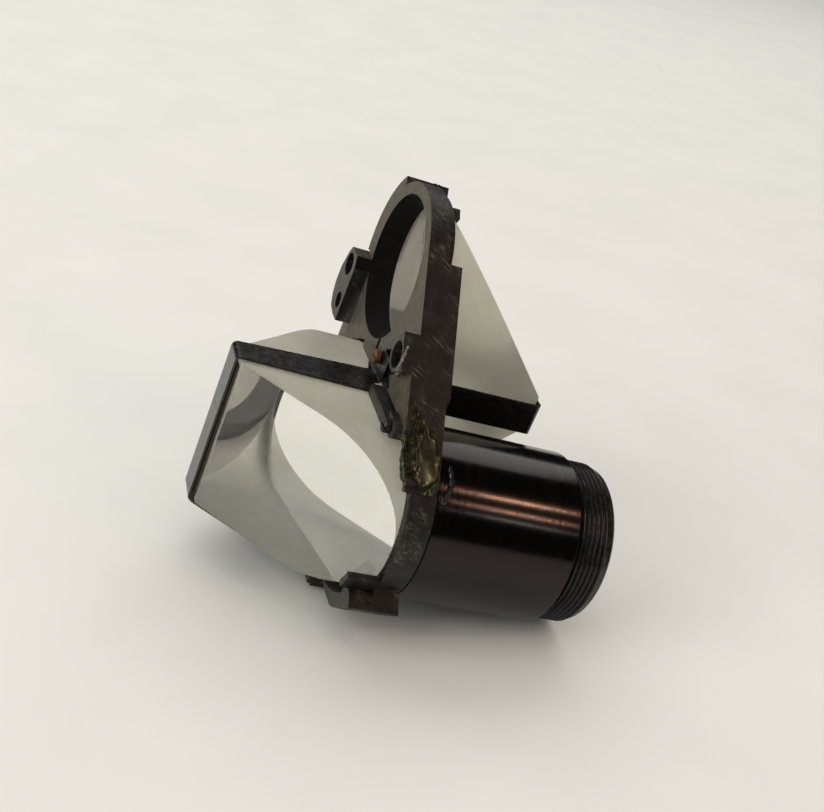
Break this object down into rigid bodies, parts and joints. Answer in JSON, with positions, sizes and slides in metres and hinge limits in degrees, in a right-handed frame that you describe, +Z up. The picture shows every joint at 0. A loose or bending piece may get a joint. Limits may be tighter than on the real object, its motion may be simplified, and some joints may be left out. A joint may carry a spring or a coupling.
{
  "type": "porro prism erecting assembly",
  "caption": "Cast frame carrying two right-angle glass prisms at 90 degrees under sheet-metal straps, with a round aperture and a threaded eyepiece tube.",
  "frame": {"origin": "centre of the bounding box's base, on the surface the assembly rests on", "axes": "+X along the eyepiece tube over the floor, +Y from the eyepiece tube's side to the far side of the frame, +Z up"},
  "size_m": [0.0772, 0.0734, 0.0731],
  "materials": {
    "cast_frame": "matt, worn grey-tan over a black finish",
    "optical_glass": "polished faces, ground sides and ends",
    "strap_black": "semi-gloss black",
    "anodised_black": "satin black with fine turning marks",
    "flat_black": "flat black",
    "cork": "raw",
    "rusty_steel": "rusted",
    "blackened_steel": "blackened",
    "screw_steel": "dull"
  },
  "bodies": {
    "frame": {"boss_screw": "screw_steel", "eyepiece_tube": "anodised_black", "front_prism": "optical_glass", "front_strap": "strap_black", "front_strap_pad": "cork", "front_strap_screw_far": "screw_steel", "front_strap_screw_near": "screw_steel", "front_strap_screw_upper": "rusty_steel", "glare_stop": "flat_black", "prism_plate": "cast_frame", "rear_prism": "optical_glass", "rear_strap": "strap_black", "rear_strap_pad": "cork", "rear_strap_screw_far": "screw_steel", "rear_strap_screw_near": "screw_steel", "rib_screw": "blackened_steel"},
    "rear_adjuster": {"rear_set_screw": "blackened_steel"},
    "front_adjuster": {"front_set_screw": "blackened_steel"}
  },
  "joints": [
    {"name": "rear_adjust", "type": "slide", "parent": "frame", "child": "rear_adjuster", "axis": [0.1133, 0.682, 0.7225], "range_m": [0, 0.0025]},
    {"name": "front_adjust", "type": "slide", "parent": "frame", "child": "front_adjuster", "axis": [-0.1221, -0.6157, -0.7785], "range_m": [0, 0.0025]}
  ]
}
